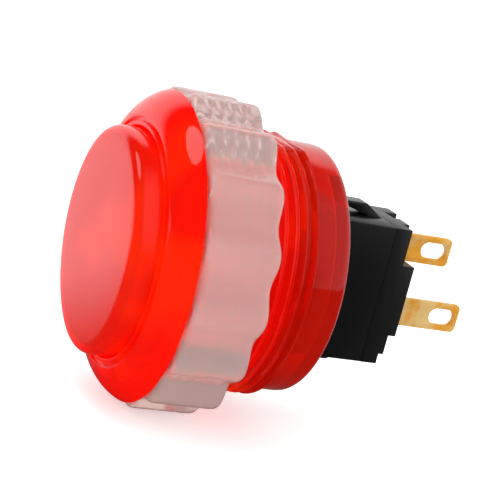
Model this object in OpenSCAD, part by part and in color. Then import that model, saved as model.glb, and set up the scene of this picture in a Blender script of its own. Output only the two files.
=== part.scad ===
// Screw-in push button for a round panel hole.  The axis runs along +Y, from the plunger's
// face (-Y) to the solder tabs (+Y).  The origin is on the axis, in the plane of the bezel's
// underside, which is the face that sits on the panel.  Lengths are in millimetres.

/* [Bezel and barrel] */
// Diameter of the round panel hole that the barrel goes through
panel_hole_d = 30; // [29:0.5:36]
// How far the bezel's rim stands out past the panel hole, on each side
rim_overhang = 2.2; // [1.9:0.1:3.5]
// Height of the bezel's lip in front of the panel
bezel_h = 3; // [2.5:0.1:4]
// Length of the barrel behind the panel seat
barrel_len = 18.2; // [15.1:0.1:22]
// Length of the smooth collar at the barrel's rear end
collar_len = 3.9; // [3:0.1:5]
// Wall thickness of the barrel, under the thread
barrel_wall = 1.35; // [1.2:0.05:2]
// Depth of the two flats on the barrel, below the thread's crest
flat_depth = 0.65; // [0.5:0.05:1.1]

/* [Thread] */
// Distance from one thread ring to the next
thread_pitch = 1.3; // [1.2:0.05:1.6]
// Height of the thread
thread_depth = 0.75; // [0.6:0.05:0.9]
// Gap between the barrel's thread and the nut's thread, all round
thread_gap = 0.1; // [0.08:0.01:0.12]

/* [Ring nut] */
// Thickness of the nut from its thread to the top of a lobe
nut_wall = 2.9; // [2.6:0.05:4.5]
// Length of the nut along the axis
nut_len = 8.3; // [7:0.1:11]
// Number of grip lobes round the nut
lobe_count = 16; // [12:1:20]
// Depth of the valleys between the lobes
lobe_depth = 1.3; // [1:0.1:2]

/* [Plunger] */
// Gap between the plunger's wall and the bezel's bore
plunger_gap = 0.25; // [0.2:0.05:0.4]
// How far the plunger's face stands out in front of the bezel's lip
plunger_proud = 2.7; // [2.5:0.1:3.5]
// How far the plunger can be pressed
press_travel = 2.2; // [1.6:0.1:2.4]
// Rounding of the cap's front edge
cap_round = 1; // [0.6:0.1:1.3]
// Wall thickness of the cap
cap_wall = 1.1; // [0.9:0.1:1.3]

/* [Switch] */
// Thickness of the switch, across its broad faces
switch_t = 10; // [8:0.1:12]
// Height of the switch, from its lower edge to its upper edge
switch_h = 16.1; // [13.4:0.1:18]
// How far the switch stands out behind the barrel, as far as the seam of its cover
switch_out = 8.9; // [7.4:0.1:12]
// Thickness of the cover's base
cover_t = 2; // [1.6:0.1:2.6]
// Wall thickness of the switch's case
case_wall = 1.2; // [1:0.1:1.4]
// Width of each snap arm
arm_w = 2.4; // [2:0.1:4]

/* [Solder tabs] */
// Thickness of the brass sheet
tab_t = 0.6; // [0.4:0.05:0.8]
// Width of each tab
tab_w = 3.4; // [2.8:0.1:3.6]
// Width of the slot in each tab
slot_w = 1.95; // [1.4:0.05:2.1]
// Length of the slot in each tab, end to end
slot_len = 3.3; // [2.6:0.1:3.6]
// How far the upper tab stands out behind the cover's base
upper_tab_out = 8.95; // [7.4:0.05:12]
// How far the lower tab stands out behind the cover's base
lower_tab_out = 11.25; // [9.3:0.05:14]

/* [Hidden] */
$fn = 96;
cut = 1;                    // how far a cutting solid runs past the face it opens

// barrel and thread
thread_r = panel_hole_d / 2 - 0.15;
root_r = thread_r - thread_depth;
collar_r = root_r + 0.02;
bore_r = root_r - barrel_wall;
thread_end = barrel_len - collar_len;
crest_w = thread_pitch * 0.15;
flank_w = thread_pitch * 0.33;
ring_w = crest_w + 2 * flank_w;
first_ring_y = 0.75;
ring_count = floor((thread_end - first_ring_y - ring_w / 2) / thread_pitch) + 1;
flat_off = thread_r - flat_depth;
flat_end_gap = 0.01;        // material left at each end of a flat
collar_round = 0.7;

// ring nut
nut_y = 0.35;
nut_end = nut_y + nut_len;
nut_round = 1;
nut_minor = root_r + thread_gap;
nut_major = thread_r + thread_gap;
nut_crest = thread_r + nut_wall;
nut_ring_count = floor((nut_end + ring_w / 2 + thread_gap - first_ring_y) / thread_pitch) + 1;
lobe_r = nut_crest * 0.125;
lobe_phase = 0.73;          // turn of the first lobe from +X, in lobes

// bezel
rim_r = panel_hole_d / 2 + rim_overhang;
crown_r = 5.15;             // radius of the bezel's rounded flank
crown_y = crown_r - bezel_h;
crown_c = rim_r - sqrt(crown_r * crown_r - crown_y * crown_y);
lip_w = 0.45;               // width of the lip between the bore and the groove
groove_w = 0.5;
groove_d = 0.65;

// barrel interior
ledge_t = 1.4;
ledge_in = 1.75;            // how far the ledge stands in from the bore
ledge_r = bore_r - ledge_in;
rear_wall = 1.5;
rear_wall_y = barrel_len - rear_wall;
fit_gap = 0.05;             // gap round a piece that is snapped or slid into its place

// plunger
plunger_r = bore_r - plunger_gap;
face_y = -bezel_h - plunger_proud;
stop_gap = 0.05;
skirt_y = 1.6;              // rear edge of the cap's skirt when it is not pressed
ledge_y = skirt_y + press_travel + stop_gap;
web_y = face_y + cap_wall;
web_t = 1.2;
web_r = plunger_r - cap_wall - fit_gap;
leg_count = 4;
leg_w = 5;
leg_t = 1.2;
leg_r = ledge_r - 0.3;
hook_r = leg_r + 0.9;
hook_y = ledge_y + ledge_t + stop_gap;
hook_len = 1.8;
stem_r = 2.4;

// switch case and snap arms
switch_z = -0.55;           // centre of the switch's height
switch_top = switch_z + switch_h / 2;
case_in = 4.1;              // how far the case goes in past the rear wall's inner face
case_y = rear_wall_y - case_in;
seam_y = barrel_len + switch_out;
stop_t = 1.35;              // thickness of the ring that the case's corners stop on
corner_hold = 0.92;         // share of the case's corner distance that the stop ring is open to
stop_r = corner_hold * sqrt(pow(switch_t / 2, 2) + pow(switch_h / 2 + switch_z, 2));
arm_lift = 1.43;            // how far the top of each arm stands off the case
arm_t = 0.7;
arm_crest_y = seam_y - 2.4;
arm_foot_y = seam_y - 0.2;
arm_under_y = seam_y - 2.05;
arm_under_run = 2.5;
arm_front_y = rear_wall_y - 1.6;
hook_h = 0.6;
arm_sink = 0.1;             // how far each arm's ends run into the case

// actuator and bridge contact
act_r = 1.9;
act_gap = 0.06;
act_proud = 1.1;            // how far the actuator still stands out when it is pressed
act_y = case_y - press_travel - act_proud;
flange_r = 2.6;
flange_y = case_y + case_wall + 0.1;
flange_t = 1.2;
nub_r = 0.65;
nub_len = 1.2;
bridge_y = flange_y + flange_t;
bridge_t = 0.3;
bridge_w = 3;
rivet_r = 1.1;
rivet_t = 0.5;
bridge_rivet_y = bridge_y + bridge_t;
fixed_rivet_y = bridge_rivet_y + rivet_t + press_travel + stop_gap;
pad_y = fixed_rivet_y + rivet_t;

// return spring
wire_d = 0.35;
coil_r = 1.05;
coil_turns = 9;
close_part = 0.12;          // share of the turns that close up at each end
close_pitch = 0.35;         // pitch of those turns, as a share of the mean pitch
plug_len = 1.4;             // how far the cover's plug goes into the case
spring_y = bridge_rivet_y + wire_d / 2;
spring_len = seam_y - plug_len - wire_d / 2 - spring_y;

// solder tabs
tab_edge = 0.4;             // case between the upper tab and the case's inner wall
upper_z = switch_top - case_wall - tab_edge - tab_w / 2;
lower_z = switch_z - 0.158 * switch_h;
tab_x = 1;                  // each tab's distance from the plane through the axis
pad_w = 2.9;
tab_round = 0.6;
slot_edge = 0.6;            // brass left behind each slot
cover_y = seam_y + cover_t;

// steps and lugs on the cover's rear face
platform_h = 1.5;
platform_low = 3.5;         // platform's distance from the case's lower edge
platform_high = 4.2;        // platform's distance from the case's upper edge
step_h = 0.6;
step_low = 1.2;
lug_t = 1.2;
lugs = [[-switch_t / 2, 2.4, 1.7], [-0.2, 2.6, 0.9]];   // [x, width, height] of each lug
plug_gap = 0.1;

// Turns a shape that was made round +Z so that it lies along +Y.
module along_y() { rotate([-90, 0, 0]) children(); }

// A ring or disc round the axis, from y0 over length len.
module disc(r, y0, len) { along_y() translate([0, 0, y0]) cylinder(r = r, h = len); }

module ring(r_out, r_in, y0, len) {
    difference() {
        disc(r_out, y0, len);
        disc(r_in, y0 - cut, len + 2 * cut);
    }
}

// A block centred on x = 0, from y0 to y1 and from z0 to z1.
module block(w, y0, y1, z0, z1) {
    translate([-w / 2, y0, z0]) cube([w, y1 - y0, z1 - z0]);
}

// Outline points of one thread ring at height y, from its front foot to its rear foot.
function ring_points(y, r_low, r_high, grow) = [
    [r_low, y - ring_w / 2 - grow], [r_high, y - crest_w / 2 - grow],
    [r_high, y + crest_w / 2 + grow], [r_low, y + ring_w / 2 + grow]];

// Thread rings on a core that runs from y0 to y1.
module threaded_core(r_low, r_high, y0, y1, count, grow) {
    along_y() rotate_extrude()
        polygon(concat([[0, y0], [r_low, y0]],
                       [for (i = [0 : count - 1])
                            each ring_points(first_ring_y + i * thread_pitch,
                                             r_low, r_high, grow)],
                       [[r_low, y1], [0, y1]]));
}

// Bezel: a rounded flank, a flat lip round the opening and a groove between them.
module bezel() {
    along_y() rotate_extrude() difference() {
        intersection() {
            translate([crown_c, crown_y]) circle(r = crown_r);
            translate([bore_r - cut, -bezel_h]) square([rim_r - bore_r + cut, bezel_h]);
        }
        translate([bore_r + lip_w, -bezel_h - cut]) square([groove_w, groove_d + cut]);
    }
}

module barrel_body() {
    difference() {
        union() {
            threaded_core(root_r, thread_r, -bezel_h / 2, thread_end, ring_count, 0);
            disc(collar_r, thread_end - cut, collar_len + cut - collar_round);
            along_y() translate([0, 0, barrel_len - collar_round])
                cylinder(r1 = collar_r, r2 = collar_r - collar_round, h = collar_round);
        }
        for (side = [-1, 1])
            translate([0, thread_end / 2, side * (flat_off + thread_depth)])
                cube([2 * thread_r, thread_end - 2 * flat_end_gap, 2 * thread_depth],
                     center = true);
    }
}

// Rear window: the case's outline with a notch above and below for the snap arms.
module rear_window() {
    block(switch_t + 2 * fit_gap, rear_wall_y - cut, barrel_len + cut,
          switch_z - switch_h / 2 - fit_gap, switch_z + switch_h / 2 + fit_gap);
    block(arm_w + 2 * fit_gap, rear_wall_y - cut, barrel_len + cut,
          switch_z - switch_h / 2 - arm_lift - fit_gap,
          switch_z + switch_h / 2 + arm_lift + fit_gap);
}

module housing() {
    color([0.85, 0.03, 0.02, 0.9]) difference() {
        union() {
            bezel();
            barrel_body();
        }
        disc(bore_r, -bezel_h - cut, ledge_y + bezel_h + cut);
        disc(ledge_r, ledge_y - cut, ledge_t + 2 * cut);
        disc(bore_r, ledge_y + ledge_t, case_y - stop_t - ledge_y - ledge_t);
        disc(stop_r, case_y - stop_t - cut, stop_t + 2 * cut);
        disc(bore_r, case_y, rear_wall_y - case_y);
        rear_window();
    }
}

// Outline of the nut: a round core with a lobe for every grip.
module lobed_outline() {
    circle(r = nut_crest - lobe_depth);
    for (i = [0 : lobe_count - 1])
        rotate(360 / lobe_count * (i + lobe_phase))
            translate([nut_crest - lobe_r, 0])
                circle(r = lobe_r);
}

module ring_nut() {
    color([0.88, 0.82, 0.8, 0.5]) difference() {
        intersection() {
            along_y() translate([0, 0, nut_y])
                linear_extrude(nut_len) mirror([0, 1]) lobed_outline();
            along_y() translate([0, 0, nut_y]) rotate_extrude() union() {
                square([nut_crest - nut_round, nut_len]);
                translate([0, nut_round]) square([nut_crest, nut_len - 2 * nut_round]);
                for (y = [nut_round, nut_len - nut_round])
                    translate([nut_crest - nut_round, y]) circle(r = nut_round);
            }
        }
        threaded_core(nut_minor, nut_major, nut_y - cut, nut_end + 2 * cut,
                      nut_ring_count, thread_gap);
    }
}

module plunger_cap() {
    color([0.9, 0.12, 0.08, 0.9]) difference() {
        along_y() rotate_extrude() union() {
            translate([0, face_y + cap_round]) square([plunger_r, skirt_y - face_y - cap_round]);
            translate([0, face_y]) square([plunger_r - cap_round, skirt_y - face_y]);
            translate([plunger_r - cap_round, face_y + cap_round]) circle(r = cap_round);
        }
        disc(plunger_r - cap_wall, web_y, skirt_y - web_y + cut);
    }
}

// Inner plunger: a disc behind the cap's face, four hooked legs and a stem for the switch.
module plunger_body() {
    color([0.93, 0.35, 0.28]) union() {
        disc(web_r, web_y, web_t);
        disc(stem_r, web_y, act_y - stop_gap - web_y);
        intersection() {
            union() {
                ring(leg_r, leg_r - leg_t, web_y, hook_y + hook_len - web_y);
                ring(hook_r, leg_r - leg_t, hook_y, hook_len);
            }
            for (i = [0 : leg_count - 1])
                rotate([0, 360 / leg_count * (i + 0.5), 0])
                    translate([0, web_y, -leg_w / 2])
                        cube([hook_r + cut, hook_y + hook_len - web_y, leg_w]);
        }
    }
}

// Snap arm on the case's upper edge: it grows from a ramp near the seam and runs forward
// through the rear window to a hook that catches behind the rear wall.
module snap_arm() {
    top = switch_h / 2 + arm_lift;
    base = switch_h / 2;
    translate([arm_w / 2, 0, switch_z]) rotate([90, 0, -90]) linear_extrude(arm_w)
        polygon([[-arm_foot_y, base - arm_sink], [-arm_foot_y, base], [-arm_crest_y, top],
                 [-rear_wall_y + fit_gap, top], [-rear_wall_y + fit_gap, top + hook_h],
                 [-arm_front_y, top], [-arm_front_y, top - arm_t],
                 [arm_under_run - arm_under_y, top - arm_t], [-arm_under_y, base],
                 [-arm_under_y, base - arm_sink]]);
}

module switch_case() {
    color([0.05, 0.05, 0.055]) difference() {
        union() {
            block(switch_t, case_y, seam_y, switch_z - switch_h / 2, switch_z + switch_h / 2);
            snap_arm();
            translate([0, 0, 2 * switch_z]) mirror([0, 0, 1]) snap_arm();
        }
        block(switch_t - 2 * case_wall, case_y + case_wall, seam_y + cut,
              switch_z - switch_h / 2 + case_wall, switch_z + switch_h / 2 - case_wall);
        disc(act_r + act_gap, case_y - cut, case_wall + 2 * cut);
    }
}

// Steps and lugs on the cover's rear face, and the plug that locates it in the case.
module cover_body() {
    low = switch_z - switch_h / 2;
    block(switch_t, seam_y, cover_y, low, switch_top);
    block(switch_t, cover_y, cover_y + platform_h, low + platform_low,
          switch_top - platform_high);
    block(switch_t, cover_y, cover_y + step_h, low + step_low, low + platform_low);
    for (lug = lugs)
        translate([lug[0], cover_y, switch_top - lug_t]) cube([lug[1], lug[2], lug_t]);
    block(switch_t - 2 * case_wall - 2 * plug_gap, seam_y - plug_len, seam_y,
          low + case_wall + plug_gap, switch_top - case_wall - plug_gap);
}

module switch_cover() {
    color([0.06, 0.06, 0.065]) difference() {
        union() {
            cover_body();
            disc(nub_r, seam_y - plug_len - nub_len, nub_len);
        }
        for (tab = [[-tab_x, upper_z], [tab_x, lower_z]])
            translate([tab[0] - tab_t / 2 - fit_gap, seam_y - plug_len - cut,
                       tab[1] - tab_w / 2 - fit_gap])
                cube([tab_t + 2 * fit_gap, plug_len + cover_t + platform_h + 2 * cut,
                      tab_w + 2 * fit_gap]);
    }
}

module switch_actuator() {
    color([0.75, 0.1, 0.08]) union() {
        disc(act_r, act_y, flange_y - act_y);
        disc(flange_r, flange_y, flange_t);
        disc(nub_r, flange_y, flange_t + bridge_t + nub_len);
    }
}

// How far along its length a coil has come at a share t of its turns, when it closes up
// at both ends.
function coil_rise(t) =
    let (low = close_part * close_pitch)
    t < close_part ? t * close_pitch
    : t > 1 - close_part ? 1 - (1 - t) * close_pitch
    : low + (t - close_part) * (1 - 2 * low) / (1 - 2 * close_part);

module return_spring() {
    steps = 18;
    sides = 6;
    rings = coil_turns * steps;
    points = [for (i = [0 : rings])
                  let (turn = 360 * i / steps, y = coil_rise(i / rings) * spring_len)
                  for (k = [0 : sides - 1])
                      let (a = 360 * k / sides, out = coil_r + wire_d / 2 * cos(a))
                      [out * cos(turn), y + wire_d / 2 * sin(a), out * sin(turn)]];
    walls = [for (i = [0 : rings - 1]) for (k = [0 : sides - 1])
                 let (n = (k + 1) % sides)
                 [i * sides + k, i * sides + n, (i + 1) * sides + n, (i + 1) * sides + k]];
    ends = [[for (k = [sides - 1 : -1 : 0]) k], [for (k = [0 : sides - 1]) rings * sides + k]];
    color([0.75, 0.75, 0.78]) translate([0, spring_y, 0])
        polyhedron(points, concat(walls, ends));
}

module bridge_contact() {
    end_w = 0.5;
    color([0.8, 0.55, 0.3]) difference() {
        block(bridge_w, bridge_y, bridge_rivet_y,
              lower_z - rivet_r - end_w, upper_z + rivet_r + end_w);
        disc(nub_r + fit_gap, bridge_y - cut, bridge_t + 2 * cut);
    }
}

// A pair of contact rivets, one in line with each terminal.
module rivet_pair(y0) {
    for (z = [lower_z, upper_z]) translate([0, 0, z]) disc(rivet_r, y0, rivet_t);
}

module bridge_rivets() { color([0.85, 0.85, 0.87]) rivet_pair(bridge_rivet_y); }

module fixed_rivets() { color([0.85, 0.85, 0.87]) rivet_pair(fixed_rivet_y); }

// Flat solder tab with a round-ended slot, and the pad folded off its inner end.
module terminal(side, z, end_y) {
    length = end_y - pad_y;
    color([0.85, 0.66, 0.33]) translate([side * tab_x, pad_y, z]) union() {
        translate([-tab_t / 2, 0, 0]) rotate([90, 0, 90]) linear_extrude(tab_t)
            difference() {
                union() {
                    translate([0, -tab_w / 2]) square([length - tab_round, tab_w]);
                    translate([0, tab_round - tab_w / 2])
                        square([length, tab_w - 2 * tab_round]);
                    for (v = [-1, 1])
                        translate([length - tab_round, v * (tab_w / 2 - tab_round)])
                            circle(r = tab_round);
                }
                for (u = [slot_edge + slot_w / 2, slot_edge + slot_len - slot_w / 2])
                    translate([length - u, 0]) circle(r = slot_w / 2);
                translate([length - slot_edge - slot_len + slot_w / 2, -slot_w / 2])
                    square([slot_len - slot_w, slot_w]);
            }
        translate([side > 0 ? tab_t / 2 - pad_w : -tab_t / 2, 0, -tab_w / 2])
            cube([pad_w, tab_t, tab_w]);
    }
}

module terminal_upper() { terminal(-1, upper_z, cover_y + upper_tab_out); }

module terminal_lower() { terminal(1, lower_z, cover_y + lower_tab_out); }

housing();
ring_nut();
plunger_cap();
plunger_body();
switch_case();
switch_cover();
switch_actuator();
return_spring();
bridge_contact();
bridge_rivets();
fixed_rivets();
terminal_upper();
terminal_lower();
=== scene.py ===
import math

import bmesh
import bpy
from mathutils import Matrix, Vector


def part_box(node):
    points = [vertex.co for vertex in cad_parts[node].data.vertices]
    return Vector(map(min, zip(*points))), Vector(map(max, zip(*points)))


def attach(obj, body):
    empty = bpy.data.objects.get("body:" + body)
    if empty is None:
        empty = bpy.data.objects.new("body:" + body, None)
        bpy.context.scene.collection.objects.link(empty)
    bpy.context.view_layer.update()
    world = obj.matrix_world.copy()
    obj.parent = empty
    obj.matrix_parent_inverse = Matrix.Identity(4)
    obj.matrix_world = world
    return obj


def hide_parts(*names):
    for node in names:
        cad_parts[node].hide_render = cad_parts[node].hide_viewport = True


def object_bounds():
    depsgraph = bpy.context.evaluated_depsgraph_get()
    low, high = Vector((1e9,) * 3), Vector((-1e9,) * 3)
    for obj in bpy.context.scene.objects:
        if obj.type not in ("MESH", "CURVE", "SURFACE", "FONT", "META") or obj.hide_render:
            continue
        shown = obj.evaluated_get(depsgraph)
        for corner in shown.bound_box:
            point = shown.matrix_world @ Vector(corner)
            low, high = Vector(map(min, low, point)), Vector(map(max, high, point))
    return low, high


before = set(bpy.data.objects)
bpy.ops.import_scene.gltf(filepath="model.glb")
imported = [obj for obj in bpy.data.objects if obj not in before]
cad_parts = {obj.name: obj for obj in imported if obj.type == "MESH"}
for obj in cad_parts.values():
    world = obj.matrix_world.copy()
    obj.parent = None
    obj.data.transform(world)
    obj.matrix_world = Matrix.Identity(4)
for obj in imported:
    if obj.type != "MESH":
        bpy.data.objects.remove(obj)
cad_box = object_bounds()
MM = 0.001

# Camera: a long lens, a little above the button and well round to its side, and rolled, so
# that the button lies across the frame with its face turned up to the left.
azimuth = math.radians(65.6)
elevation = math.radians(13.16)
roll = math.radians(14.49)
distance = 170 * MM
aim = Vector((4.25, 10.5, 2.3)) * MM
back = Vector((math.sin(azimuth) * math.cos(elevation),
               -math.cos(azimuth) * math.cos(elevation), math.sin(elevation)))
level_right = Vector((0, 0, 1)).cross(back).normalized()
level_up = back.cross(level_right)
right = level_right * math.cos(roll) + level_up * math.sin(roll)
up = level_up * math.cos(roll) - level_right * math.sin(roll)
camera_data = bpy.data.cameras.new("camera")
camera_data.sensor_width = 36
camera_data.lens = 112.39
camera_data.clip_start = 0.01
camera = bpy.data.objects.new("camera", camera_data)
camera.matrix_world = Matrix((right, up, back)).transposed().to_4x4()
camera.location = aim + back * distance
bpy.context.collection.objects.link(camera)
scene = bpy.context.scene
scene.camera = camera
scene.view_settings.view_transform = "Standard"
scene.view_settings.look = "None"
scene.cycles.max_bounces = 20           # light crosses up to a dozen clear walls on its way
scene.cycles.transmission_bounces = 20


# Floor: a backlit white sheet under the button, level with the lowest lobe of the ring nut.  In
# reflections it is lit only behind the button, as if its light fell off toward the camera.
def link(tree, a, b):
    tree.links.new(a, b)


def node(tree, kind, **values):
    """A node with some of its settings given by name."""
    made = tree.nodes.new(kind)
    for key, value in values.items():
        setattr(made, key, value)
    return made


def principled(name, colour, roughness, **values):
    """A material with a Principled shader, as its material, node tree and shader."""
    material = bpy.data.materials.new(name)
    material.use_nodes = True
    shader = material.node_tree.nodes["Principled BSDF"]
    shader.inputs["Base Color"].default_value = (*colour, 1)
    shader.inputs["Roughness"].default_value = roughness
    for key, value in values.items():
        shader.inputs[key.replace("_", " ")].default_value = value
    return material, material.node_tree, shader


def ramp(tree, source, stops):
    """A colour ramp from (position, grey) stops, fed by a value."""
    made = node(tree, "ShaderNodeValToRGB")
    made.color_ramp.interpolation = "EASE"
    for element, (position, grey) in zip(made.color_ramp.elements, stops):
        element.position = position
        element.color = (grey, grey, grey, 1)
    link(tree, source, made.inputs["Fac"])
    return made.outputs["Color"]


floor_half = 0.9
floor_glow = 0.42
floor_z = cad_box[0].z
floor_mesh = bpy.data.meshes.new("floor")
floor_mesh.from_pydata([(x * floor_half, y * floor_half, floor_z)
                        for x, y in ((-1, -1), (1, -1), (1, 1), (-1, 1))], [], [(0, 1, 2, 3)])
floor = bpy.data.objects.new("floor", floor_mesh)
bpy.context.collection.objects.link(floor)
floor_material, floor_tree, floor_shader = principled("floor_card", (0.93, 0.93, 0.93), 0.6)
floor_shader.inputs["Specular IOR Level"].default_value = 0.1
floor_shader.inputs["Emission Color"].default_value = (1, 1, 1, 1)
floor_shader.inputs["Emission Strength"].default_value = floor_glow
floor_place = node(floor_tree, "ShaderNodeTexCoord")
floor_depth = node(floor_tree, "ShaderNodeVectorMath", operation="DOT_PRODUCT")
floor_depth.inputs[1].default_value = (-back.x, -back.y, 0)
link(floor_tree, floor_place.outputs["Object"], floor_depth.inputs[0])
floor_lit = node(floor_tree, "ShaderNodeMapRange")
floor_lit.inputs["From Min"].default_value = -5 * MM
floor_lit.inputs["From Max"].default_value = 40 * MM
link(floor_tree, floor_depth.outputs["Value"], floor_lit.inputs["Value"])
floor_dim = node(floor_tree, "ShaderNodeBsdfDiffuse")
link(floor_tree, ramp(floor_tree, floor_lit.outputs["Result"], ((0.0, 0.03), (1.0, 0.62))),
     floor_dim.inputs["Color"])
floor_path = node(floor_tree, "ShaderNodeLightPath")
floor_mix = node(floor_tree, "ShaderNodeMixShader")
link(floor_tree, floor_path.outputs["Is Glossy Ray"], floor_mix.inputs["Fac"])
link(floor_tree, floor_shader.outputs["BSDF"], floor_mix.inputs[1])
link(floor_tree, floor_dim.outputs["BSDF"], floor_mix.inputs[2])
link(floor_tree, floor_mix.outputs["Shader"],
     floor_tree.nodes["Material Output"].inputs["Surface"])
floor_mesh.materials.append(floor_material)


# Studio light: a bright tent all round, seen directly and through the clear plastic.  Glossy
# surfaces mirror a dark room instead, with the backdrop, a glow past the button's rear end and
# one high at the right.  A round softbox is high in front, and a second one fills from above.
world = bpy.data.worlds.new("studio")
world.use_nodes = True
scene.world = world
sky = world.node_tree
sky_light = sky.nodes["Background"]
sky_place = node(sky, "ShaderNodeTexCoord")


def heading(bearing, rise):
    """The direction at a bearing from -Y toward +X and a rise above level, in degrees."""
    turn, lift = math.radians(bearing), math.radians(rise)
    return Vector((math.sin(turn) * math.cos(lift), -math.cos(turn) * math.cos(lift),
                   math.sin(lift)))


def maths(tree, operation, *values):
    """A Math node: each value is a number or an output."""
    made = node(tree, "ShaderNodeMath", operation=operation)
    for socket, value in zip(made.inputs, values):
        if isinstance(value, (int, float)):
            socket.default_value = value
        else:
            link(tree, value, socket)
    return made.outputs[0]


tent_strength = 1.15
tent_through = 1.2                      # added for light that comes through the plastic
glow = 0.015                            # the dark room, which each glow then brightens
for bearing, rise, core, edge, strength in ((-114, -13, 56, 68, 1.0), (178, -5, 35, 75, 0.9),
                                            (122, 45, 15, 50, 0.45)):
    toward = node(sky, "ShaderNodeVectorMath", operation="DOT_PRODUCT")
    toward.inputs[1].default_value = heading(bearing, rise)
    link(sky, sky_place.outputs["Generated"], toward.inputs[0])
    cone = node(sky, "ShaderNodeMapRange", interpolation_type="SMOOTHSTEP")
    cone.inputs["From Min"].default_value = math.cos(math.radians(edge))
    cone.inputs["From Max"].default_value = math.cos(math.radians(core))
    cone.inputs["To Max"].default_value = strength
    link(sky, toward.outputs["Value"], cone.inputs["Value"])
    glow = maths(sky, "MAXIMUM", glow, cone.outputs["Result"])
link(sky, glow, sky_light.inputs["Strength"])
sky_light.inputs["Color"].default_value = (1, 1, 1, 1)
sky_seen = node(sky, "ShaderNodeBackground")
sky_seen.inputs["Color"].default_value = (1, 1, 1, 1)
sky_path = node(sky, "ShaderNodeLightPath")
link(sky, maths(sky, "MULTIPLY_ADD", sky_path.outputs["Is Transmission Ray"], tent_through,
                tent_strength), sky_seen.inputs["Strength"])
sky_mix = node(sky, "ShaderNodeMixShader")
link(sky, sky_path.outputs["Is Glossy Ray"], sky_mix.inputs["Fac"])
link(sky, sky_seen.outputs["Background"], sky_mix.inputs[1])
link(sky, sky_light.outputs["Background"], sky_mix.inputs[2])
link(sky, sky_mix.outputs["Shader"], sky.nodes["World Output"].inputs["Surface"])


def softbox(name, bearing, rise, reach, size, power, mirrored=True):
    """A round softbox that faces the button.  One that isn't mirrored lights matt surfaces."""
    away = heading(bearing, rise)
    light = bpy.data.lights.new(name, "AREA")
    light.shape = "DISK"
    light.size = size
    light.energy = power
    box = bpy.data.objects.new(name, light)
    box.location = aim + away * reach
    box.rotation_euler = away.to_track_quat("Z", "Y").to_euler()
    box.visible_glossy = mirrored
    box.visible_transmission = mirrored
    bpy.context.collection.objects.link(box)


softbox("softbox_key", -22, 57, 0.6, 0.32, 0.6)
softbox("fill_top", -60, 70, 0.9, 0.6, 0.8, mirrored=False)


# Housing: the bezel and the threaded barrel are one moulding in clear red plastic.  It is
# turned as a lathe profile, with the thread as rings, two flats, and the switch's window.
def rounded(corners, steps):
    """The closed outline through corners (radius, height, fillet), with the corners rounded."""
    longest = 0.49                      # of a side, for the fillet at each of its ends
    outline = []
    for i, (x, y, fillet) in enumerate(corners):
        here = Vector((x, y))
        if fillet <= 0:
            outline.append((x, y))
            continue
        before = Vector(corners[i - 1][:2]) - here
        after = Vector(corners[(i + 1) % len(corners)][:2]) - here
        reach = min(fillet / math.tan(before.angle(after) / 2),
                    before.length * longest, after.length * longest)
        start = here + before.normalized() * reach
        end = here + after.normalized() * reach
        for k in range(steps + 1):
            t = k / steps
            point = start * (1 - t) ** 2 + here * 2 * t * (1 - t) + end * t ** 2
            outline.append((point.x, point.y))
    return outline


def lathe(name, outline, angles, limit=None):
    """A closed solid turned about the Y axis from an outline in millimetres.
    limit(radius, height, angle) may change the radius of a point."""
    points = []
    for angle in angles:
        for radius, height in outline:
            r = limit(radius, height, angle) if limit else radius
            points.append((r * math.cos(angle) * MM, height * MM, r * math.sin(angle) * MM))
    n = len(outline)
    faces = []
    for i in range(len(angles)):
        j = (i + 1) % len(angles)
        faces += [(i * n + k, j * n + k, j * n + (k + 1) % n, i * n + (k + 1) % n)
                  for k in range(n)]
    mesh = bpy.data.meshes.new(name)
    mesh.from_pydata(points, [], faces)
    return finished(name, mesh)


def finished(name, mesh):
    """Merges doubles, turns every face outwards and shades the mesh smooth between edges."""
    work = bmesh.new()
    work.from_mesh(mesh)
    bmesh.ops.remove_doubles(work, verts=work.verts, dist=1e-7)
    bmesh.ops.dissolve_degenerate(work, dist=1e-7, edges=work.edges)
    bmesh.ops.delete(work, geom=[e for e in work.edges if e.is_wire], context="EDGES")
    bmesh.ops.recalc_face_normals(work, faces=work.faces)
    work.to_mesh(mesh)
    work.free()
    return piece_of(name, smoothed(mesh, 35))


def smoothed(mesh, sharp_angle):
    """Shades a mesh smooth, except across edges sharper than an angle in degrees."""
    for polygon in mesh.polygons:
        polygon.use_smooth = True
    mesh.set_sharp_from_angle(angle=math.radians(sharp_angle))
    return mesh


def piece_of(name, mesh):
    piece = bpy.data.objects.new(name, mesh)
    bpy.context.collection.objects.link(piece)
    return piece


def placed(piece, material, body, slot, *replaced):
    """Gives a piece its material, its body and the CAD nodes it replaces; the slot is not used.
    """
    piece.data.materials.clear()
    piece.data.materials.append(material)
    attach(piece, body)
    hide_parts(*replaced)


def circle_angles(count):
    return [2 * math.pi * i / count for i in range(count)]


def in_mm(node):
    """The lowest and highest corner of a CAD node, in millimetres."""
    low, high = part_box(node)
    return low / MM, high / MM


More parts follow.
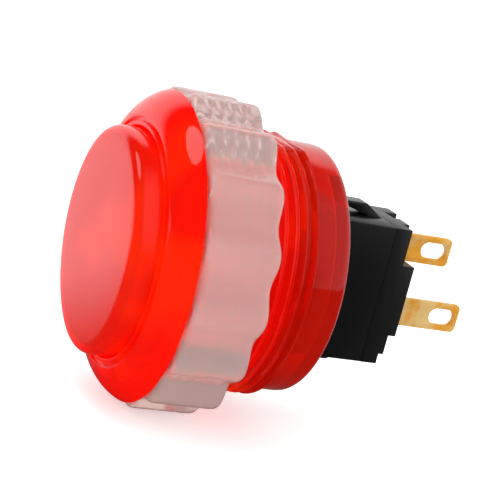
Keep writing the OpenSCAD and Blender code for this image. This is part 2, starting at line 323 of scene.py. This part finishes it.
housing_low, housing_high = in_mm("housing")
rim_r = housing_high.x
lip_y = housing_low.y
barrel_end = housing_high.y
thread_crest = 14.85
thread_root = 14.1
collar_r = 14.12
bore_r = 12.75
pitch = 1.3
first_ring = 0.75
thread_end = barrel_end - 3.9
ring_half = pitch * 0.405               # from a ring's middle to the foot of its flank
crest_half = pitch * 0.075
flat_at = thread_crest - 0.65
crown_r = 5.15
crown_y = lip_y + crown_r
crown_c = rim_r - math.sqrt(crown_r ** 2 - crown_y ** 2)
groove_in = bore_r + 0.45
groove_out = groove_in + 0.5
groove_y = lip_y + 0.65
ledge_r, ledge_y, ledge_end = 11.0, 3.85, 5.25
stop_r, stop_y, case_front = 8.3, 11.25, 12.6
wall_y = barrel_end - 1.5               # the wall across the barrel's rear, with the window
wall_ring = 10.6                        # a ring of points just outside the window
at_window = -1                          # a negative radius follows the window's edge
window_x = 5.05
window_low, window_high = -8.65, 7.55
notch_x = 1.25
notch_low, notch_high = -10.08, 8.98


def crown(radius):
    """The height of the bezel's round front at a radius."""
    return crown_y - math.sqrt(max(crown_r ** 2 - (radius - crown_c) ** 2, 0))


def thread_rings(root, crest, foot, top, foot_fillet, top_fillet, end):
    """The corners of a threaded wall's outline, ring after ring, as far as a height.
    The foot and top are half the width of a ring at its root and at its crest."""
    turns = []
    for ring in range(math.ceil((end - first_ring + foot) / pitch)):
        middle = first_ring + ring * pitch
        turns += [(root, middle - foot, foot_fillet), (crest, middle - top, top_fillet),
                  (crest, middle + top, top_fillet), (root, middle + foot, foot_fillet)]
    return [turn for turn in turns if turn[1] < end]


def box_reach(angle, half_x, low_z, high_z):
    """Distance from the axis to the wall of a rectangle, along a direction."""
    c, s = math.cos(angle), math.sin(angle)
    across = half_x / abs(c) if abs(c) > 1e-9 else 1e9
    along = (high_z if s > 0 else -low_z) / abs(s) if abs(s) > 1e-9 else 1e9
    return min(across, along)


def window_reach(angle):
    """Distance from the axis to the edge of the switch's window with its two notches."""
    return max(box_reach(angle, window_x, window_low, window_high),
               box_reach(angle, notch_x, notch_low, notch_high))


corners = [(bore_r, lip_y, 0.14), (groove_in, crown(groove_in), 0.12),
           (groove_in, groove_y, 0.08), (groove_out, groove_y, 0.1),
           (groove_out, crown(groove_out), 0.15)]
flank_steps = 22
corners += [(r, crown(r), 0) for r in
            [groove_out + (rim_r - groove_out) * math.sin(math.pi / 2 * k / flank_steps)
             for k in range(2, flank_steps)]]
corners += [(rim_r, 0, 0.1), (thread_root, 0, 0.1)]
corners += thread_rings(thread_root, thread_crest, ring_half, crest_half, 0.3, 0.05, thread_end)
corners += [(collar_r, thread_end, 0), (collar_r, barrel_end, 0.9), (wall_ring, barrel_end, 0),
            (at_window, barrel_end, 0), (at_window, wall_y, 0), (wall_ring, wall_y, 0),
            (bore_r, wall_y, 0.3),
            (bore_r, case_front, 0.1), (stop_r, case_front, 0.1), (stop_r, stop_y, 0.1),
            (bore_r, stop_y, 0.3), (bore_r, ledge_end, 0.3), (ledge_r, ledge_end, 0.12),
            (ledge_r, ledge_y, 0.12), (bore_r, ledge_y, 0.3)]


def housing_limit(radius, height, angle):
    """Fits the rear wall to the window, and cuts the thread's crests to two flats."""
    hair, skin = 0.01, 0.2
    if radius < 0:
        return window_reach(angle)
    if hair < height < thread_end - hair and radius > bore_r + skin:
        return min(radius, flat_at / max(abs(math.sin(angle)), 1e-6))
    return radius


window_corners = [math.atan2(z, x) for x, z in
                  ((window_x, window_high), (notch_x, window_high), (notch_x, notch_high),
                   (window_x, window_low), (notch_x, window_low), (notch_x, notch_low))]
housing_angles = sorted(set(circle_angles(360))
                        | {a % (2 * math.pi) for a in window_corners}
                        | {(math.pi - a) % (2 * math.pi) for a in window_corners})


def bump_group():
    """Bumps of a given size and depth over a surface, as a normal: flow marks or grain."""
    tree = bpy.data.node_groups.new("surface_bumps", "ShaderNodeTree")
    for name in ("Scale", "Detail", "Depth"):
        tree.interface.new_socket(name, in_out="INPUT", socket_type="NodeSocketFloat")
    tree.interface.new_socket("Normal", in_out="OUTPUT", socket_type="NodeSocketVector")
    start, end = node(tree, "NodeGroupInput"), node(tree, "NodeGroupOutput")
    place = node(tree, "ShaderNodeTexCoord")
    noise = node(tree, "ShaderNodeTexNoise")
    link(tree, place.outputs["Object"], noise.inputs["Vector"])
    link(tree, start.outputs["Scale"], noise.inputs["Scale"])
    link(tree, start.outputs["Detail"], noise.inputs["Detail"])
    bump = node(tree, "ShaderNodeBump")
    link(tree, start.outputs["Depth"], bump.inputs["Distance"])
    link(tree, noise.outputs["Fac"], bump.inputs["Height"])
    link(tree, bump.outputs["Normal"], end.inputs["Normal"])
    return tree


def painted_glow_group():
    """A painted glow: emission standing in for light passing through a tinted moulding, brighter
    and more orange in cloudy patches, and faded nearly out past a height along the axis as
    painted shade where a dark part fills the inside."""
    tree = bpy.data.node_groups.new("painted_glow_nodes", "ShaderNodeTree")
    for name in ("Fade Start", "Fade End", "Scale"):
        tree.interface.new_socket(name, in_out="INPUT", socket_type="NodeSocketFloat")
    tree.interface.new_socket("Color", in_out="OUTPUT", socket_type="NodeSocketColor")
    start, end = node(tree, "NodeGroupInput"), node(tree, "NodeGroupOutput")
    place = node(tree, "ShaderNodeTexCoord")
    along = node(tree, "ShaderNodeSeparateXYZ")
    link(tree, place.outputs["Object"], along.inputs[0])
    # painted shade: the glow dims along the axis where a dark part fills the inside
    fade = node(tree, "ShaderNodeMapRange", interpolation_type="SMOOTHSTEP")
    link(tree, along.outputs["Y"], fade.inputs["Value"])
    link(tree, start.outputs["Fade Start"], fade.inputs["From Min"])
    link(tree, start.outputs["Fade End"], fade.inputs["From Max"])
    fade.inputs["To Min"].default_value = 1.0
    fade.inputs["To Max"].default_value = 0.05
    cloud = node(tree, "ShaderNodeTexNoise")
    cloud.inputs["Detail"].default_value = 1
    link(tree, place.outputs["Object"], cloud.inputs["Vector"])
    link(tree, start.outputs["Scale"], cloud.inputs["Scale"])
    patch = node(tree, "ShaderNodeMapRange", interpolation_type="SMOOTHSTEP")
    patch.inputs["From Min"].default_value = 0.5
    patch.inputs["From Max"].default_value = 0.68
    link(tree, cloud.outputs["Fac"], patch.inputs["Value"])
    # painted glow colour: red, turning orange in the cloudy patches
    hue = node(tree, "ShaderNodeMix", data_type="RGBA")
    hue.inputs["A"].default_value = (1.0, 0.0, 0.0, 1)
    hue.inputs["B"].default_value = (1.7, 0.08, 0.0, 1)
    link(tree, patch.outputs["Result"], hue.inputs["Factor"])
    dim = node(tree, "ShaderNodeVectorMath", operation="SCALE")
    link(tree, hue.outputs["Result"], dim.inputs[0])
    link(tree, fade.outputs["Result"], dim.inputs["Scale"])
    link(tree, dim.outputs["Vector"], end.inputs["Color"])
    return tree


bumps, painted_glow_nodes = bump_group(), painted_glow_group()


def group_node(tree, group, **values):
    """A group placed in a material, with its named inputs set."""
    made = node(tree, "ShaderNodeGroup", node_tree=group)
    for key, value in values.items():
        made.inputs[key].default_value = value
    return made


def bumpy(tree, shader, scale, detail, depth):
    """Roughens a shader's surface with small bumps."""
    made = group_node(tree, bumps, Scale=scale, Detail=detail, Depth=depth)
    link(tree, made.outputs["Normal"], shader.inputs["Normal"])


def with_painted_glow(material, strength, fade_start, fade_end):
    """Adds to a material a painted glow, emission standing in for light passing through tinted
    clear plastic, which fades out between two heights in millimetres."""
    tree = material.node_tree
    shader = tree.nodes["Principled BSDF"]
    group = group_node(tree, painted_glow_nodes, **{"Fade Start": fade_start * MM,
                                              "Fade End": fade_end * MM, "Scale": 90.0})
    link(tree, group.outputs["Color"], shader.inputs["Emission Color"])
    shader.inputs["Emission Strength"].default_value = strength
    return material


def clear_plastic(name, colour, roughness, clearness):
    """A clear moulded plastic: tinted and glossy, with faint flow marks in its surface."""
    material, tree, shader = principled(name, colour, roughness,
                                        Transmission_Weight=clearness, IOR=1.49)
    bumpy(tree, shader, 140.0, 2.0, 0.00002)
    return material


# the housing's emission is a painted glow, standing in for light passing through the red plastic
placed(lathe("bezel_and_barrel", rounded(corners, 4), housing_angles, housing_limit),
       with_painted_glow(clear_plastic("clear_red_plastic", (0.93, 0.014, 0.003), 0.06, 0.7),
               0.14, 10, 14.5), "base", "bezel_red", "housing")


# Ring nut: a clear moulded nut with a row of lobes to grip, screwed up behind the panel.  The
# lobes are pressed into a turned blank by a Geometry Nodes rule.
nut_low, nut_high = in_mm("ring_nut")
nut_front, nut_rear = nut_low.y, nut_high.y
nut_crest = 17.75
nut_minor, nut_major = thread_root + 0.05, thread_crest + 0.1
nut_ring_half, nut_crest_half = ring_half + 0.1, crest_half + 0.1
nut_round, nut_lead = 1.0, 0.25
grooves = thread_rings(nut_minor, nut_major, nut_ring_half, nut_crest_half, 0.05, 0.08, nut_rear)
nut_corners = [(nut_minor + nut_lead, nut_front, 0), (nut_crest, nut_front, nut_round),
               (nut_crest, nut_rear, nut_round), (grooves[-1][0], nut_rear, 0)]
nut = lathe("ring_nut_clear", rounded(nut_corners + grooves[::-1], 5), circle_angles(320))


def lobe_tree():
    """Pulls the outer wall of a blank in between the lobes, and leaves its bore alone."""
    tree = bpy.data.node_groups.new("nut_lobes", "GeometryNodeTree")
    face = tree.interface
    face.new_socket("Geometry", in_out="INPUT", socket_type="NodeSocketGeometry")
    for name in ("Lobes", "Phase", "Depth", "Inner Radius", "Outer Radius"):
        face.new_socket(name, in_out="INPUT", socket_type="NodeSocketFloat")
    face.new_socket("Material", in_out="INPUT", socket_type="NodeSocketMaterial")
    face.new_socket("Geometry", in_out="OUTPUT", socket_type="NodeSocketGeometry")
    start = tree.nodes.new("NodeGroupInput")
    end = tree.nodes.new("NodeGroupOutput")
    place = tree.nodes.new("GeometryNodeInputPosition")
    split = tree.nodes.new("ShaderNodeSeparateXYZ")
    link(tree, place.outputs[0], split.inputs[0])
    x, y, z = split.outputs
    radius = maths(tree, "SQRT", maths(tree, "ADD", maths(tree, "MULTIPLY", x, x),
                                       maths(tree, "MULTIPLY", z, z)))
    angle = maths(tree, "ARCTAN2", z, x)
    swing = maths(tree, "MULTIPLY", maths(tree, "SUBTRACT", angle, start.outputs["Phase"]),
                  maths(tree, "MULTIPLY", start.outputs["Lobes"], 0.5))
    # the square of this sine is 0 on the crest of a lobe and 1 in the valley beside it
    wave = maths(tree, "SINE", swing)
    valley = maths(tree, "MULTIPLY", wave, wave)
    share = node(tree, "ShaderNodeMapRange", interpolation_type="SMOOTHSTEP")
    link(tree, radius, share.inputs["Value"])
    link(tree, start.outputs["Inner Radius"], share.inputs["From Min"])
    link(tree, start.outputs["Outer Radius"], share.inputs["From Max"])
    drop = maths(tree, "MULTIPLY", maths(tree, "MULTIPLY", valley, start.outputs["Depth"]),
                 share.outputs["Result"])
    scale = maths(tree, "DIVIDE", maths(tree, "SUBTRACT", radius, drop), radius)
    join = tree.nodes.new("ShaderNodeCombineXYZ")
    link(tree, maths(tree, "MULTIPLY", x, scale), join.inputs[0])
    link(tree, y, join.inputs[1])
    link(tree, maths(tree, "MULTIPLY", z, scale), join.inputs[2])
    move = tree.nodes.new("GeometryNodeSetPosition")
    link(tree, start.outputs["Geometry"], move.inputs["Geometry"])
    link(tree, join.outputs[0], move.inputs["Position"])
    real = tree.nodes.new("GeometryNodeRealizeInstances")
    link(tree, move.outputs[0], real.inputs[0])
    paint = tree.nodes.new("GeometryNodeSetMaterial")
    link(tree, real.outputs[0], paint.inputs["Geometry"])
    link(tree, start.outputs["Material"], paint.inputs["Material"])
    link(tree, paint.outputs[0], end.inputs[0])
    return tree


def applied(piece):
    """Makes the result of a piece's modifiers its plain mesh."""
    made = bpy.data.meshes.new_from_object(
        piece.evaluated_get(bpy.context.evaluated_depsgraph_get()))
    piece.modifiers.clear()
    piece.data = made
    return piece


def grown(piece, tree, **inputs):
    """Runs a Geometry Nodes tree on a piece and keeps the result as its plain mesh."""
    modifier = piece.modifiers.new(tree.name, "NODES")
    modifier.node_group = tree
    sockets = {s.name: s.identifier for s in tree.interface.items_tree
               if s.item_type == "SOCKET" and s.in_out == "INPUT"}
    for name, value in inputs.items():
        modifier[sockets[name.replace("_", " ")]] = value
    return applied(piece)


nut_plastic = clear_plastic("clear_nut_plastic", (0.97, 0.79, 0.74), 0.12, 0.69)
placed(grown(nut, lobe_tree(), Lobes=16.0, Phase=math.radians(16.4), Depth=1.3 * MM,
             Inner_Radius=(nut_major + 0.3) * MM, Outer_Radius=(nut_crest - 0.4) * MM,
             Material=nut_plastic), nut_plastic, "nut", "nut_clear", "ring_nut")


# Plunger cap: a thin clear red cup, pushed over the inner plunger, whose rim is softly rounded.
# It is what the finger presses, so it stands proud of the bezel.
cap_low, cap_high = in_mm("plunger_cap")
cap_r = cap_high.x
cap_wall = 1.1
cap_inner = cap_r - cap_wall
cap = lathe("plunger_cap_clear",
            rounded([(0, cap_low.y, 0), (cap_r * 0.5, cap_low.y, 0), (cap_r, cap_low.y, 1.3),
                     (cap_r, cap_high.y, 0.15), (cap_inner, cap_high.y, 0.15),
                     (cap_inner, cap_low.y + cap_wall, 0.4), (0, cap_low.y + cap_wall, 0)], 8),
            circle_angles(240))
# the cap's emission is a painted glow, standing in for light passing through the red plastic
placed(cap, with_painted_glow(clear_plastic("clear_cap_plastic", (0.93, 0.018, 0.004), 0.09, 0.65),
                    0.13, 3, 4), "plunger", "cap_red", "plunger_cap")


# Inner plunger: the red disc behind the cap's face, with four hooked legs that keep it in
# the barrel and a stem that presses the switch.
def softened(name, node_name, width):
    """A copy of a CAD node with its flat faces merged and its edges rounded off a little."""
    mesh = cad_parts[node_name].data.copy()
    mesh.name = name
    work = bmesh.new()
    work.from_mesh(mesh)
    bmesh.ops.remove_doubles(work, verts=work.verts, dist=1e-6)
    bmesh.ops.dissolve_limit(work, angle_limit=math.radians(1), verts=work.verts,
                             edges=work.edges)
    work.to_mesh(mesh)
    work.free()
    piece = piece_of(name, mesh)
    bevel = piece.modifiers.new("soft_edges", "BEVEL")
    bevel.width = width * MM
    bevel.segments = 2
    bevel.limit_method = "ANGLE"
    bevel.angle_limit = math.radians(30)
    smoothed(applied(piece).data, 40)
    return piece


inner_plastic = clear_plastic("inner_plunger_plastic", (0.95, 0.06, 0.02), 0.25, 0.1)
placed(softened("inner_plunger", "plunger_body", 0.08), inner_plastic, "plunger",
       "plunger_red", "plunger_body")


# Switch case and its cover: two black satin mouldings that meet at a seam, with a fine grain,
# a few specks of dust and edges that are barely rounded.
def dust_group():
    """Sparse dust specks, as a mask."""
    tree = bpy.data.node_groups.new("dust_specks", "ShaderNodeTree")
    tree.interface.new_socket("Scale", in_out="INPUT", socket_type="NodeSocketFloat")
    tree.interface.new_socket("Size", in_out="INPUT", socket_type="NodeSocketFloat")
    tree.interface.new_socket("Mask", in_out="OUTPUT", socket_type="NodeSocketFloat")
    start, end = node(tree, "NodeGroupInput"), node(tree, "NodeGroupOutput")
    place = node(tree, "ShaderNodeTexCoord")
    cells = node(tree, "ShaderNodeTexVoronoi")
    link(tree, place.outputs["Object"], cells.inputs["Vector"])
    link(tree, start.outputs["Scale"], cells.inputs["Scale"])
    near = maths(tree, "LESS_THAN", cells.outputs["Distance"], start.outputs["Size"])
    picked = node(tree, "ShaderNodeSeparateColor")
    link(tree, cells.outputs["Color"], picked.inputs["Color"])
    clean_share = 0.72
    some = maths(tree, "GREATER_THAN", picked.outputs["Red"], clean_share)
    link(tree, maths(tree, "MULTIPLY", near, some), end.inputs["Mask"])
    return tree


dust = dust_group()


def blended(tree, mask, low, high, socket):
    """Feeds a colour socket with one colour or another by a mask."""
    mix = node(tree, "ShaderNodeMix", data_type="RGBA")
    link(tree, mask, mix.inputs["Factor"])
    mix.inputs["A"].default_value = (*low, 1)
    mix.inputs["B"].default_value = (*high, 1)
    link(tree, mix.outputs["Result"], socket)


def black_plastic(name, colour, roughness):
    """A satin black moulding with a fine grain and a few specks of pale dust."""
    material, tree, shader = principled(name, colour, roughness, Specular_IOR_Level=0.5)
    bumpy(tree, shader, 2600.0, 3.0, 0.00002)
    specks = group_node(tree, dust, Scale=900.0, Size=0.11)
    blended(tree, specks.outputs["Mask"], colour, (0.2, 0.2, 0.19),
            shader.inputs["Base Color"])
    return material


placed(softened("switch_case_soft", "switch_case", 0.12),
       black_plastic("black_case_plastic", (0.003, 0.003, 0.0031), 0.3), "base",
       "switch_black", "switch_case")
placed(softened("switch_cover_soft", "switch_cover", 0.12),
       black_plastic("black_cover_plastic", (0.0045, 0.0045, 0.0045), 0.38), "base",
       "cover_black", "switch_cover")


# Solder tabs: two strips stamped from brass sheet, each with a slot for the wire, that come out
# through the cover.  The brass is dulled and stained by handling, and its edges are sheared.
def brass(name, colour, metallic, roughness):
    """Sheet brass with paler, tarnished patches and a slightly uneven surface."""
    material, tree, shader = principled(name, colour, roughness, Metallic=metallic)
    place = node(tree, "ShaderNodeTexCoord")
    stains = node(tree, "ShaderNodeTexNoise")
    stains.inputs["Scale"].default_value = 420
    stains.inputs["Detail"].default_value = 5
    link(tree, place.outputs["Object"], stains.inputs["Vector"])
    patch = node(tree, "ShaderNodeMapRange", interpolation_type="SMOOTHSTEP")
    patch.inputs["From Min"].default_value = 0.42
    patch.inputs["From Max"].default_value = 0.66
    link(tree, stains.outputs["Fac"], patch.inputs["Value"])
    blended(tree, patch.outputs["Result"], colour, (0.86, 0.58, 0.22),
            shader.inputs["Base Color"])
    bumpy(tree, shader, 1400.0, 3.0, 0.00002)
    return material


tab_brass = brass("tab_brass", (0.88, 0.38, 0.03), 0.4, 0.34)
for name in ("terminal_upper", "terminal_lower"):
    placed(softened(name + "_tab", name, 0.06), tab_brass, "base", "tab_brass", name)


# Switch inside: a brass bridge with silver rivets that the moulded actuator pushes across the
# fixed rivets, and a steel spring.  Their shapes are right as they are in the CAD frame.
def dress(node_name, material):
    """Gives a CAD node that keeps its shape a better material."""
    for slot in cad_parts[node_name].material_slots:
        slot.material = material


def drawn_metal(name, colour, roughness):
    """Bright metal with fine marks of the tool that drew or headed it."""
    material, tree, shader = principled(name, colour, roughness, Metallic=1.0)
    bumpy(tree, shader, 3000.0, 4.0, 0.00001)
    return material


def moulded(name, colour, roughness):
    """Plain opaque plastic with a fine grain."""
    material, tree, shader = principled(name, colour, roughness)
    bumpy(tree, shader, 2000.0, 3.0, 0.00002)
    return material


rivet_silver = drawn_metal("rivet_silver", (0.85, 0.84, 0.8), 0.25)
dress("bridge_contact", tab_brass)
dress("return_spring", drawn_metal("spring_steel", (0.6, 0.6, 0.62), 0.3))
dress("bridge_rivets", rivet_silver)
dress("fixed_rivets", rivet_silver)
dress("switch_actuator", moulded("actuator_plastic", (0.75, 0.74, 0.7), 0.4))
